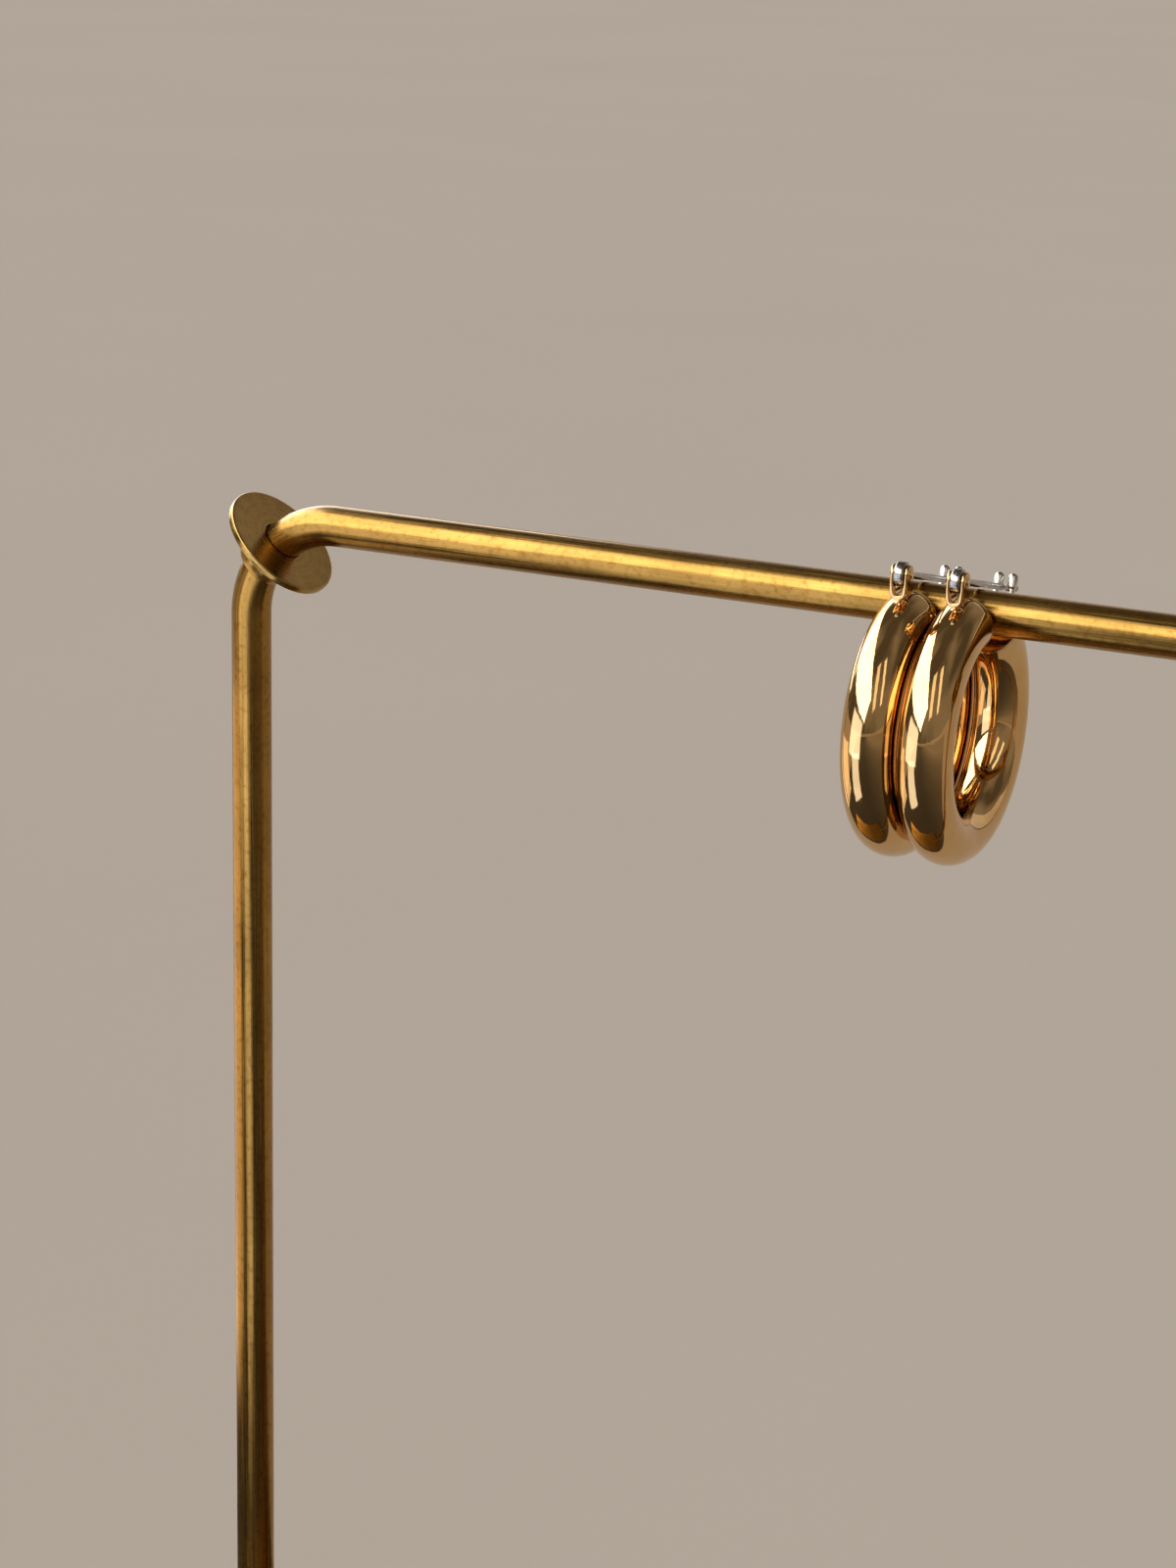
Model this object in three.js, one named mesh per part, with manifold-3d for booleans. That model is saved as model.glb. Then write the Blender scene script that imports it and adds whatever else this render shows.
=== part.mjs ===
import * as THREE from "three";
import { mergeVertices } from "three/addons/utils/BufferGeometryUtils.js";
import Module from "manifold-3d";

// A pair of hinged tube hoops that hang by their closed ear posts from the bar of a small brass rack.
// Millimetres, +Z up, X along the bar, -Y the front. The origin is under the middle of the base plate.

const wasm = await Module();
wasm.setup();

const rad = THREE.MathUtils.degToRad;

// The rack: one rod bent twice, with a round stop and a collar in the middle of each bend.
const ROD_RADIUS = 2.4;
const ROD_SIDES = 20;
const RACK_SPAN = 126; // between the axes of the two legs
const BAR_HEIGHT = 165; // axis of the bar above the table
const BEND_RADIUS = 12; // on the axis of the rod
const BEND_STEPS = 9;
const STOP_RADIUS = 7.4;
const STOP_THICKNESS = 0.9;
const STOP_SHIFT = 0.9; // middle of the stop past the middle of the bend, towards the bar
const COLLAR_RADIUS = 3.45;
const COLLAR_LENGTH = 3.6;
const SLIP_FIT = 0.15; // between the rod and what is threaded on it
const SEAM_GAP = 0.1; // between two pieces that lie face to face

// The base plate, with a blind hole for the foot of each leg.
const PLATE = { length: 150, depth: 56, thickness: 4, cornerRadius: 6, edgeRadius: 0.6 };
const LEG_HOLE_DEPTH = 2.6;

// One earring: a round tube bent to an open ring. Angles run from the middle of the gap, the back positive.
const RING_RADIUS = 11.95; // on the axis of the tube
const TUBE_RADIUS = 3.05;
const TUBE_SIDES = 26;
const RING_STEPS = 56;
const GAP_HALF_ANGLE = rad(19.2);
const SURFACE_RADIUS = RING_RADIUS + TUBE_RADIUS;

// The ear post is a straight wire that closes the gap, square to the middle line of the gap.
const POST_LEVEL = 15.75; // its axis above the middle of the ring
const POST_RADIUS = 0.4;
const POST_END = 11.2; // its far end past the middle line
const NECK_RADIUS = 0.25; // the snap groove that the catch grips
const NECK_HALF_LENGTH = 0.95;

// The hinge bracket: a strip bent to a U and soldered upright to the front end of the tube.
const HINGE = { angle: rad(-31.5), lean: rad(14), halfWidth: 1.0, strip: 0.4, halfDepth: 1.05, foot: 0.3 };
const PIN_RADIUS = 0.4;
const PIN_CLEARANCE = 0.05;
const PIN_PROUD = 0.06;
const KNUCKLE_RADIUS = 1.35;
const KNUCKLE_HALF_WIDTH = 0.54;

// The catch: a wire fork with a round bead on each prong, its peg let into the back end of the tube.
const CATCH = { angle: rad(25.5), lean: rad(16), halfSpread: 0.8, wire: 0.34, bead: 0.52, height: 4.0 };
const PEG_RADIUS = 0.45;
const PEG_DEPTH = 1.0;

// How the pair hangs.
const HANG_TILT = rad(13.4); // the post runs down towards the back
const BAR_OFFSET = -1.3; // axis of the bar in front of the middle line of the gap
const REST_GAP = 0.12; // between the post and the top of the bar
const PAIR_X = [22.35, 28.7]; // middle planes of the two hoops along the bar

const MATERIALS = {
  gold: new THREE.MeshStandardMaterial({ color: 0xd9a45f, roughness: 0.08, metalness: 1 }),
  white: new THREE.MeshStandardMaterial({ color: 0xd6d2cb, roughness: 0.12, metalness: 1 }),
  brass: new THREE.MeshStandardMaterial({ color: 0xa87a34, roughness: 0.38, metalness: 1 }),
};

// Axes for a profile drawn flat and pushed along Z: ACROSS pushes it along X, ALONG pushes it along -Y.
const ACROSS = new THREE.Matrix4().makeBasis(
  new THREE.Vector3(0, 1, 0),
  new THREE.Vector3(0, 0, 1),
  new THREE.Vector3(1, 0, 0),
);
const ALONG = new THREE.Matrix4().makeRotationX(Math.PI / 2);

// A three.js geometry as a solid that can be joined and cut.
function toSolid(geometry) {
  const bare = geometry.index ? geometry.toNonIndexed() : geometry.clone();
  bare.deleteAttribute("normal");
  bare.deleteAttribute("uv");
  const merged = mergeVertices(bare, 1e-4);
  return new wasm.Manifold(
    new wasm.Mesh({
      numProp: 3,
      vertProperties: merged.attributes.position.array,
      triVerts: new Uint32Array(merged.index.array),
    }),
  );
}

// A solid back as a three.js geometry.
function toGeometry(solid) {
  const { numProp, vertProperties, triVerts } = solid.getMesh();
  const positions = new Float32Array((vertProperties.length / numProp) * 3);
  for (let i = 0; i < positions.length / 3; i++) {
    positions.set(vertProperties.subarray(i * numProp, i * numProp + 3), i * 3);
  }
  const geometry = new THREE.BufferGeometry();
  geometry.setAttribute("position", new THREE.BufferAttribute(positions, 3));
  geometry.setIndex(new THREE.BufferAttribute(triVerts, 1));
  geometry.computeVertexNormals();
  return geometry;
}

function makeMesh(name, geometry, material) {
  const mesh = new THREE.Mesh(geometry, material.clone());
  mesh.name = name;
  return mesh;
}

function circle(radius) {
  return new THREE.Shape().absarc(0, 0, radius, 0, 2 * Math.PI, false);
}

// A flat profile pushed through `depth`, half of it to each side.
function slab(shape, depth, axes, curveSegments = 10) {
  const geometry = new THREE.ExtrudeGeometry(shape, { depth, bevelEnabled: false, curveSegments });
  return geometry.translate(0, 0, -depth / 2).applyMatrix4(axes);
}

// A round bar swept along a curve, one section at each of `steps` equal parts of the curve's parameter.
function sweep(curve, radius, sides, steps) {
  return new THREE.ExtrudeGeometry(circle(radius), {
    steps,
    curveSegments: sides / 2,
    extrudePath: curve,
    bevelEnabled: false,
  });
}

// A cylinder or a cone along Z, from `low` to `high`.
function post(lowRadius, highRadius, low, high, sides = 16) {
  const geometry = new THREE.CylinderGeometry(highRadius, lowRadius, high - low, sides);
  return geometry.rotateX(Math.PI / 2).translate(0, 0, (low + high) / 2);
}

// A solid turned about Z from [radius, height] pairs that start and end on the axis or close on themselves.
function turned(profile, sides) {
  const points = profile.map(([radius, height]) => new THREE.Vector2(radius, height));
  return new THREE.LatheGeometry(points, sides).rotateX(Math.PI / 2);
}

// A curve whose parameter goes through its pieces in turn, each piece with its own share of the steps.
class StepCurve extends THREE.Curve {
  constructor(pieces) {
    super();
    this.pieces = pieces; // { steps, at: (0..1) => Vector3 }
    this.steps = pieces.reduce((sum, piece) => sum + piece.steps, 0);
  }

  getPoint(t) {
    let step = THREE.MathUtils.clamp(t, 0, 1) * this.steps;
    for (const piece of this.pieces) {
      if (step <= piece.steps) return piece.at(step / piece.steps);
      step -= piece.steps;
    }
    return this.pieces.at(-1).at(1);
  }

  getUtoTmapping(u) {
    return u;
  }
}

function line(from, to) {
  return { steps: 1, at: (t) => new THREE.Vector3().lerpVectors(from, to, t) };
}

// An arc in the XZ plane; angles run from +X towards +Z.
function arc(centre, radius, from, to, steps) {
  const at = (t) => {
    const angle = THREE.MathUtils.lerp(from, to, t);
    return new THREE.Vector3(Math.cos(angle), 0, Math.sin(angle)).multiplyScalar(radius).add(centre);
  };
  return { steps, at };
}

// ---- Rack ----

function rackRod() {
  const half = RACK_SPAN / 2;
  const inner = half - BEND_RADIUS;
  const shoulder = BAR_HEIGHT - BEND_RADIUS;
  const foot = PLATE.thickness - LEG_HOLE_DEPTH + SEAM_GAP;
  const at = (x, z) => new THREE.Vector3(x, 0, z);
  const path = new StepCurve([
    line(at(-half, foot), at(-half, shoulder)),
    arc(at(-inner, shoulder), BEND_RADIUS, Math.PI, Math.PI / 2, BEND_STEPS),
    line(at(-inner, BAR_HEIGHT), at(inner, BAR_HEIGHT)),
    arc(at(inner, shoulder), BEND_RADIUS, Math.PI / 2, 0, BEND_STEPS),
    line(at(half, shoulder), at(half, foot)),
  ]);
  return sweep(path, ROD_RADIUS, ROD_SIDES, path.steps);
}

// A thin round washer with softened edges.
function stopDisc() {
  const bore = ROD_RADIUS + SLIP_FIT;
  const soft = STOP_THICKNESS / 4;
  const high = STOP_THICKNESS / 2;
  const profile = [
    [bore, -high],
    [STOP_RADIUS - soft, -high],
    [STOP_RADIUS, -high + soft],
    [STOP_RADIUS, high - soft],
    [STOP_RADIUS - soft, high],
    [bore, high],
    [bore, -high],
  ];
  return turned(profile, 40);
}

// A short bead under the stop, bored to follow the bend of the rod; side is -1 on the left, 1 on the right.
function collar(side) {
  const core = ROD_RADIUS;
  const bulge = COLLAR_RADIUS - core;
  const rim = 7;
  const top = STOP_SHIFT - STOP_THICKNESS / 2 - SEAM_GAP;
  const profile = [[0, top - COLLAR_LENGTH]];
  for (let i = 0; i <= rim; i++) {
    const angle = (Math.PI * i) / rim;
    const out = bulge * (0.45 + 0.55 * Math.sin(angle));
    profile.push([core + out, top - (COLLAR_LENGTH * (1 + Math.cos(angle))) / 2]);
  }
  profile.push([0, top]);
  const middle = side < 0 ? Math.PI : 0;
  const below = middle - side * rad(30);
  const above = middle + side * rad(10);
  const centre = new THREE.Vector3(-side * BEND_RADIUS, 0, 0);
  const route = new StepCurve([arc(centre, BEND_RADIUS, below, above, 8)]);
  const bore = sweep(route, ROD_RADIUS + SLIP_FIT, ROD_SIDES, route.steps);
  return toGeometry(toSolid(turned(profile, 24)).subtract(toSolid(bore)));
}

// The stop and its collar on one bend.
function bendFittings(side, label) {
  const group = new THREE.Group();
  const shift = BEND_RADIUS * (1 - Math.SQRT1_2);
  group.position.set(side * (RACK_SPAN / 2 - shift), 0, BAR_HEIGHT - shift);
  group.rotation.y = -side * rad(45);
  const stop = makeMesh(`stop_disc_${label}`, stopDisc(), MATERIALS.brass);
  stop.position.z = STOP_SHIFT;
  group.add(stop, makeMesh(`collar_${label}`, collar(side), MATERIALS.brass));
  return group;
}

function basePlate() {
  const { length, depth, thickness, cornerRadius, edgeRadius } = PLATE;
  const x = length / 2 - edgeRadius;
  const y = depth / 2 - edgeRadius;
  const r = cornerRadius - edgeRadius;
  const outline = new THREE.Shape()
    .moveTo(-x + r, -y)
    .lineTo(x - r, -y)
    .absarc(x - r, -y + r, r, -Math.PI / 2, 0, false)
    .lineTo(x, y - r)
    .absarc(x - r, y - r, r, 0, Math.PI / 2, false)
    .lineTo(-x + r, y)
    .absarc(-x + r, y - r, r, Math.PI / 2, Math.PI, false)
    .lineTo(-x, -y + r)
    .absarc(-x + r, -y + r, r, Math.PI, 1.5 * Math.PI, false);
  const block = new THREE.ExtrudeGeometry(outline, {
    depth: thickness - 2 * edgeRadius,
    bevelThickness: edgeRadius,
    bevelSize: edgeRadius,
    bevelSegments: 3,
    curveSegments: 6,
  }).translate(0, 0, edgeRadius);
  let plate = toSolid(block);
  for (const side of [-1, 1]) {
    const hole = post(ROD_RADIUS + SLIP_FIT, ROD_RADIUS + SLIP_FIT, thickness - LEG_HOLE_DEPTH, thickness + 1, 24);
    plate = plate.subtract(toSolid(hole.translate((side * RACK_SPAN) / 2, 0, 0)));
  }
  return toGeometry(plate);
}

// ---- Earring, with the middle of the ring at the origin and the gap at the top ----

// Moves a piece built upright on the origin to where it stands on the tube.
function standOnTube(geometry, place) {
  const { angle, lean } = place;
  const turn = Math.sign(angle) * lean;
  return geometry
    .rotateX(-turn)
    .translate(0, SURFACE_RADIUS * Math.sin(angle), SURFACE_RADIUS * Math.cos(angle));
}

// How far a piece that stands on the tube reaches along its own axis before it meets the level of the post.
function reachToPost(place) {
  return (POST_LEVEL - SURFACE_RADIUS * Math.cos(place.angle)) / Math.cos(place.lean);
}

// Where that is, along the post, from the middle line of the gap.
function crossingOf(place) {
  const side = Math.sign(place.angle);
  return SURFACE_RADIUS * Math.sin(place.angle) + side * reachToPost(place) * Math.sin(place.lean);
}

function ringTube() {
  class Ring extends THREE.Curve {
    getPoint(t) {
      const angle = THREE.MathUtils.lerp(GAP_HALF_ANGLE, 2 * Math.PI - GAP_HALF_ANGLE, t);
      return new THREE.Vector3(0, Math.sin(angle), Math.cos(angle)).multiplyScalar(RING_RADIUS);
    }
  }
  return sweep(new Ring(), TUBE_RADIUS, TUBE_SIDES, RING_STEPS);
}

// The U of the bracket, upright on the origin, with round ears bored for the pin.
function hingeBracket() {
  const { halfWidth, strip, halfDepth, foot } = HINGE;
  const pinHeight = reachToPost(HINGE);
  const top = pinHeight + halfDepth;
  const bend = foot + halfWidth;
  const inner = halfWidth - strip;
  const bentStrip = new THREE.Shape()
    .moveTo(-halfWidth, top)
    .lineTo(-halfWidth, bend)
    .absarc(0, bend, halfWidth, Math.PI, 2 * Math.PI, false)
    .lineTo(halfWidth, top)
    .lineTo(inner, top)
    .lineTo(inner, bend)
    .absarc(0, bend, inner, 2 * Math.PI, Math.PI, true)
    .lineTo(-inner, top);
  const earOutline = new THREE.Shape()
    .moveTo(-halfDepth, 0)
    .lineTo(halfDepth, 0)
    .lineTo(halfDepth, pinHeight)
    .absarc(0, pinHeight, halfDepth, 0, Math.PI, false);
  const bore = slab(circle(PIN_RADIUS + PIN_CLEARANCE), 4 * halfWidth, ACROSS).translate(0, 0, pinHeight);
  const solderFoot = post(0.85, 0.5, -0.6, foot + strip / 2, 14);
  return [
    toSolid(slab(bentStrip, 2 * halfDepth, ALONG, 12))
      .intersect(toSolid(slab(earOutline, 4 * halfWidth, ACROSS, 12)))
      .subtract(toSolid(bore)),
    toSolid(solderFoot),
  ];
}

// The ring with its soldered bracket and the blind hole for the peg of the catch: one piece of gold.
function hoop() {
  const [bracket, solderFoot] = hingeBracket();
  const pegHole = post(PEG_RADIUS + PIN_CLEARANCE, PEG_RADIUS + PIN_CLEARANCE, -PEG_DEPTH - SEAM_GAP, 1);
  const standing = (solid) => toSolid(standOnTube(toGeometry(solid), HINGE));
  return toGeometry(
    toSolid(ringTube())
      .subtract(toSolid(standOnTube(pegHole, CATCH)))
      .add(standing(solderFoot))
      .add(standing(bracket)),
  );
}

function hingePin() {
  const length = 2 * (HINGE.halfWidth + PIN_PROUD);
  return slab(circle(PIN_RADIUS), length, ACROSS).translate(0, crossingOf(HINGE), POST_LEVEL);
}

// The wire of the post along +Y from the pin, with its snap groove and its round tip.
function postWire() {
  const length = POST_END - crossingOf(HINGE);
  const neck = crossingOf(CATCH) - crossingOf(HINGE);
  const slope = POST_RADIUS - NECK_RADIUS;
  const root = KNUCKLE_RADIUS * 0.75;
  const profile = [
    [0, root],
    [POST_RADIUS * 1.35, root],
    [POST_RADIUS, KNUCKLE_RADIUS * 1.5],
    [POST_RADIUS, neck - NECK_HALF_LENGTH - slope],
    [NECK_RADIUS, neck - NECK_HALF_LENGTH],
    [NECK_RADIUS, neck + NECK_HALF_LENGTH],
    [POST_RADIUS, neck + NECK_HALF_LENGTH + slope],
    [POST_RADIUS, length - POST_RADIUS],
    [POST_RADIUS * 0.7, length - POST_RADIUS * 0.3],
    [0, length],
  ];
  return turned(profile, 16).rotateX(-Math.PI / 2);
}

// The eye that turns on the pin, with rounded cheeks, and the wire that grows from it.
function earPost() {
  const half = KNUCKLE_HALF_WIDTH;
  const soft = 0.2;
  const bore = PIN_RADIUS + PIN_CLEARANCE;
  const profile = [
    [bore, -half],
    [KNUCKLE_RADIUS - soft, -half],
    [KNUCKLE_RADIUS, -half + soft],
    [KNUCKLE_RADIUS, half - soft],
    [KNUCKLE_RADIUS - soft, half],
    [bore, half],
    [bore, -half],
  ];
  const eye = toSolid(turned(profile, 28).rotateY(Math.PI / 2));
  const whole = toGeometry(eye.add(toSolid(postWire())));
  return whole.translate(0, crossingOf(HINGE), POST_LEVEL);
}

// Two prongs on one bent wire, drawn in a little towards their beads.
function catchFork() {
  const { halfSpread, wire, bead, height } = CATCH;
  const bend = halfSpread + 0.12;
  const low = SEAM_GAP + wire + bend;
  const beadHeight = height - bead;
  const at = (x, z) => new THREE.Vector3(x, 0, z);
  const path = new StepCurve([
    line(at(-halfSpread, beadHeight), at(-bend, low)),
    arc(at(0, low), bend, Math.PI, 2 * Math.PI, 10),
    line(at(bend, low), at(halfSpread, beadHeight)),
  ]);
  let fork = toSolid(sweep(path, wire, 12, path.steps));
  fork = fork.add(toSolid(post(PEG_RADIUS, PEG_RADIUS, -PEG_DEPTH, SEAM_GAP + wire)));
  for (const side of [-1, 1]) {
    const ball = new THREE.SphereGeometry(bead, 16, 10).translate(side * halfSpread, 0, beadHeight);
    fork = fork.add(toSolid(ball));
  }
  return standOnTube(toGeometry(fork), CATCH);
}

// One earring as it hangs, with its ring in a plane square to the bar.
function earring(x, label) {
  const barLevel = POST_LEVEL - POST_RADIUS - REST_GAP - ROD_RADIUS;
  const bar = new THREE.Vector3(0, BAR_OFFSET, barLevel).applyAxisAngle(
    new THREE.Vector3(1, 0, 0),
    -HANG_TILT,
  );
  const group = new THREE.Group();
  group.position.set(x, -bar.y, BAR_HEIGHT - bar.z);
  group.rotation.x = -HANG_TILT;
  group.add(
    makeMesh(`hoop_${label}`, hoop(), MATERIALS.gold),
    makeMesh(`hinge_pin_${label}`, hingePin(), MATERIALS.gold),
    makeMesh(`ear_post_${label}`, earPost(), MATERIALS.white),
    makeMesh(`catch_${label}`, catchFork(), MATERIALS.white),
  );
  return group;
}

const root = new THREE.Group();
root.add(
  makeMesh("rack_rod", rackRod(), MATERIALS.brass),
  makeMesh("base_plate", basePlate(), MATERIALS.brass),
  bendFittings(-1, "left"),
  bendFittings(1, "right"),
  earring(PAIR_X[0], "left"),
  earring(PAIR_X[1], "right"),
);

export default root;
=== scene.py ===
"""Looks of a pair of polished tube hoops that hang by their shut ear posts on a small brass rod rack.

Sizes are millimetres in the classes below and metres in Blender. X runs along the bar, -Y is the front.
Each earring is made in its own frame, with the middle of its ring at the origin, the gap at the top and
the post along +Y. It is then placed by the hinge pin that the frame gives.
"""

import logging
import math
from collections.abc import Sequence
from dataclasses import dataclass, field
from enum import Enum

import bmesh
import bpy
from mathutils import Matrix, Vector


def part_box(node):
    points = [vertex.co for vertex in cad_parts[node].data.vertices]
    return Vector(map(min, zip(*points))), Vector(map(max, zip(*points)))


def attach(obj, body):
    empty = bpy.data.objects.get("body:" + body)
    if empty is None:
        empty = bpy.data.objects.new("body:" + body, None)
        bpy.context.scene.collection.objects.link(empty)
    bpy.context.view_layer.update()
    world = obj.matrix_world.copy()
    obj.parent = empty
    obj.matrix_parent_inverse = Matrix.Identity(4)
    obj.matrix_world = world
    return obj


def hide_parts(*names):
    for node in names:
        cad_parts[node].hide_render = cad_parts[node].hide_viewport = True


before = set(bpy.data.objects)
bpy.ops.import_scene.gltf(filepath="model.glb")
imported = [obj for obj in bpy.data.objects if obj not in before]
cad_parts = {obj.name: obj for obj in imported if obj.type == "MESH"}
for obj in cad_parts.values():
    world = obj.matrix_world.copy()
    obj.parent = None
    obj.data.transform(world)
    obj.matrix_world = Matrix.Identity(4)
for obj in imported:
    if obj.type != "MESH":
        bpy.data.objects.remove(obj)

LOG = logging.getLogger("hoops_on_rack")
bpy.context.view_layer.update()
MM = 0.001
LIE = "lie"
LATHE_WAVER = 0.2
POINT_RADIUS = 0.001
AXIS_X, AXIS_Y, AXIS_Z = Vector((1, 0, 0)), Vector((0, 1, 0)), Vector((0, 0, 1))
Pair = tuple[float, float]
Colour = tuple[float, float, float]
Stretch = tuple[float, float, float]
Socket = bpy.types.NodeSocket


# ---------------------------------------------------------------- names


class Side(Enum):
    """One end of the rack, or one earring of the pair; the value is its sign along the bar."""

    LEFT = -1
    RIGHT = 1

    @property
    def label(self) -> str:
        """The word that ends the names of this side's pieces."""
        return self.name.lower()


class Grain(Enum):
    """Which way the fine lines of a satin surface run; the value squeezes the texture along each axis."""

    ALONG_ROD = (1.0, 1.0, 0.012)
    TURNED = (1.0, 0.02, 0.02)
    ALONG_PLATE = (0.012, 1.0, 1.0)


class Body(Enum):
    """The rigid bodies of the frame that pieces ride on."""

    RACK = "rack"
    POST_LEFT = "post_left"
    POST_RIGHT = "post_right"


class Slot(Enum):
    """The record's material slots."""

    GOLD = "gold"
    WHITE = "white_metal"
    BRASS = "rack_brass"


# ---------------------------------------------------------------- materials


class NodeBench:
    """A material with its shader, and short calls to add and wire its nodes."""

    def __init__(self, name: str) -> None:
        """Makes an empty material.

        Args:
            name: the material's name.
        """
        self.material = bpy.data.materials.new(name)
        self.material.use_nodes = True
        self.tree = self.material.node_tree
        self.shader = self.tree.nodes["Principled BSDF"]

    def add(self, kind: str, **values: object) -> bpy.types.Node:
        """Adds a node and sets its sockets by name.

        Args:
            kind: the node's type without its "ShaderNode" prefix.
            values: values of input sockets, with spaces in their names as underscores.

        Returns:
            The new node.
        """
        node = self.tree.nodes.new("ShaderNode" + kind)
        for key, value in values.items():
            node.inputs[key.replace("_", " ")].default_value = value
        return node

    def wire(self, source: Socket, target: Socket) -> None:
        """Links an output socket to an input socket."""
        self.tree.links.new(source, target)

    def noise(self, vector: Socket, scale: float, detail: float) -> Socket:
        """Adds a noise texture.

        Args:
            vector: where the noise is looked up.
            scale: cells per metre.
            detail: octaves of finer noise.

        Returns:
            Its factor output.
        """
        node = self.add("TexNoise", Scale=scale, Detail=detail)
        self.wire(vector, node.inputs["Vector"])
        return node.outputs["Fac"]

    def spread(self, source: Socket, band: Pair, result: Pair = (0.0, 1.0)) -> Socket:
        """Maps a band of the source's values to a range of results.

        Args:
            source: the value to map.
            band: the source's low and high end.
            result: what each end becomes.

        Returns:
            The mapped value.
        """
        node = self.add("MapRange")
        node.inputs["From Min"].default_value, node.inputs["From Max"].default_value = band
        node.inputs["To Min"].default_value, node.inputs["To Max"].default_value = result
        self.wire(source, node.inputs["Value"])
        return node.outputs["Result"]

    def blend(self, factor: Socket, first: Colour, second: Colour) -> Socket:
        """Mixes two colours by a varying factor.

        Args:
            factor: 0 gives the first colour and 1 the second.
            first: a linear colour.
            second: a linear colour.

        Returns:
            The mixed colour.
        """
        node = self.add("ValToRGB")
        node.color_ramp.elements[0].color = (*first, 1.0)
        node.color_ramp.elements[1].color = (*second, 1.0)
        self.wire(factor, node.inputs["Fac"])
        return node.outputs["Color"]

    def darken(self, colour: Socket, shade: Socket, share: Socket) -> Socket:
        """Multiplies a colour by another one, by a varying share.

        Args:
            colour: the colour to darken.
            shade: what it is multiplied by.
            share: how much of that shows.

        Returns:
            The darkened colour.
        """
        node = self.add("Mix")
        node.data_type = "RGBA"
        node.blend_type = "MULTIPLY"
        self.wire(share, node.inputs["Factor"])
        self.wire(colour, node.inputs["A"])
        self.wire(shade, node.inputs["B"])
        return node.outputs["Result"]

    def squeeze(self, vector: Socket, scale: Stretch) -> Socket:
        """Scales a vector along each axis.

        Args:
            vector: the vector.
            scale: the factor along X, Y and Z.

        Returns:
            The scaled vector.
        """
        node = self.add("Mapping", Scale=scale)
        self.wire(vector, node.inputs["Vector"])
        return node.outputs["Vector"]

    def bump(self, height: Socket, depth: float, strength: float) -> Socket:
        """Turns a height into a normal.

        Args:
            height: the height, from 0 to 1.
            depth: how far 1 stands out, in metres.
            strength: how much of it shows.

        Returns:
            The bent normal.
        """
        node = self.add("Bump", Strength=strength, Distance=depth)
        self.wire(height, node.inputs["Height"])
        return node.outputs["Normal"]

    def own_place(self) -> Socket:
        """The place of a point in its piece."""
        return self.add("TexCoord").outputs["Object"]

    def lie_place(self) -> Socket:
        """Finds the place of a point as if its piece were straight.

        Returns:
            That place, in metres.
        """
        node = self.add("Attribute")
        node.attribute_name = LIE
        return node.outputs["Vector"]


@dataclass(frozen=True)
class PolishedMetal:
    """A mirror polish with the faint swell and hairlines that a buffing wheel leaves."""

    name: str
    colour: Colour
    deeper: Colour
    roughness: Pair = (0.04, 0.1)
    swell_scale: float = 420.0
    swell_depth: float = 0.00004
    swell_strength: float = 0.6
    cloud_share: float = 0.7
    cloud_band: Pair = (0.35, 0.65)
    hairline_scale: float = 9000.0
    hairline_stretch: Stretch = (1.0, 0.08, 0.08)
    hairline_band: Pair = (0.4, 0.7)

    def make(self) -> bpy.types.Material:
        """Builds the material.

        Returns:
            The material.
        """
        bench = NodeBench(self.name)
        place = bench.own_place()
        swell = bench.noise(place, self.swell_scale, 2.0)
        hairline = bench.noise(bench.squeeze(place, self.hairline_stretch), self.hairline_scale, 2.0)
        cloud = bench.noise(place, self.swell_scale * self.cloud_share, 4.0)
        tone = bench.blend(bench.spread(cloud, self.cloud_band), self.colour, self.deeper)
        dullness = bench.spread(hairline, self.hairline_band, self.roughness)
        bench.wire(tone, bench.shader.inputs["Base Color"])
        bench.wire(dullness, bench.shader.inputs["Roughness"])
        bench.wire(bench.bump(swell, self.swell_depth, self.swell_strength), bench.shader.inputs["Normal"])
        bench.shader.inputs["Metallic"].default_value = 1.0
        return bench.material


@dataclass(frozen=True)
class SatinMetal:
    """Handled brass: fine parallel lines, a warm tarnish in patches, and duller and brighter spots."""

    name: str
    bright: Colour
    tarnished: Colour
    grain: Grain
    roughness: Pair = (0.17, 0.34)
    line_scale: float = 5200.0
    line_depth: float = 0.000014
    line_strength: float = 0.5
    line_band: Pair = (0.35, 0.65)
    patch_scale: float = 110.0
    patch_band: Pair = (0.34, 0.68)
    speck_scale: float = 1540.0
    speck_band: Pair = (0.5, 0.8)
    speck_share: Pair = (0.0, 0.55)

    def make(self) -> bpy.types.Material:
        """Builds the material.

        Returns:
            The material.
        """
        bench = NodeBench(self.name)
        place = bench.lie_place()
        lines = bench.noise(bench.squeeze(place, self.grain.value), self.line_scale, 3.0)
        patch = bench.noise(place, self.patch_scale, 5.0)
        speck = bench.noise(place, self.speck_scale, 3.0)
        tone = bench.blend(bench.spread(patch, self.patch_band), self.bright, self.tarnished)
        streak = bench.blend(lines, self.tarnished, self.bright)
        spotted = bench.darken(tone, streak, bench.spread(speck, self.speck_band, self.speck_share))
        dullness = bench.spread(lines, self.line_band, self.roughness)
        bench.wire(spotted, bench.shader.inputs["Base Color"])
        bench.wire(dullness, bench.shader.inputs["Roughness"])
        bench.wire(bench.bump(lines, self.line_depth, self.line_strength), bench.shader.inputs["Normal"])
        bench.shader.inputs["Metallic"].default_value = 1.0
        return bench.material


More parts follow.
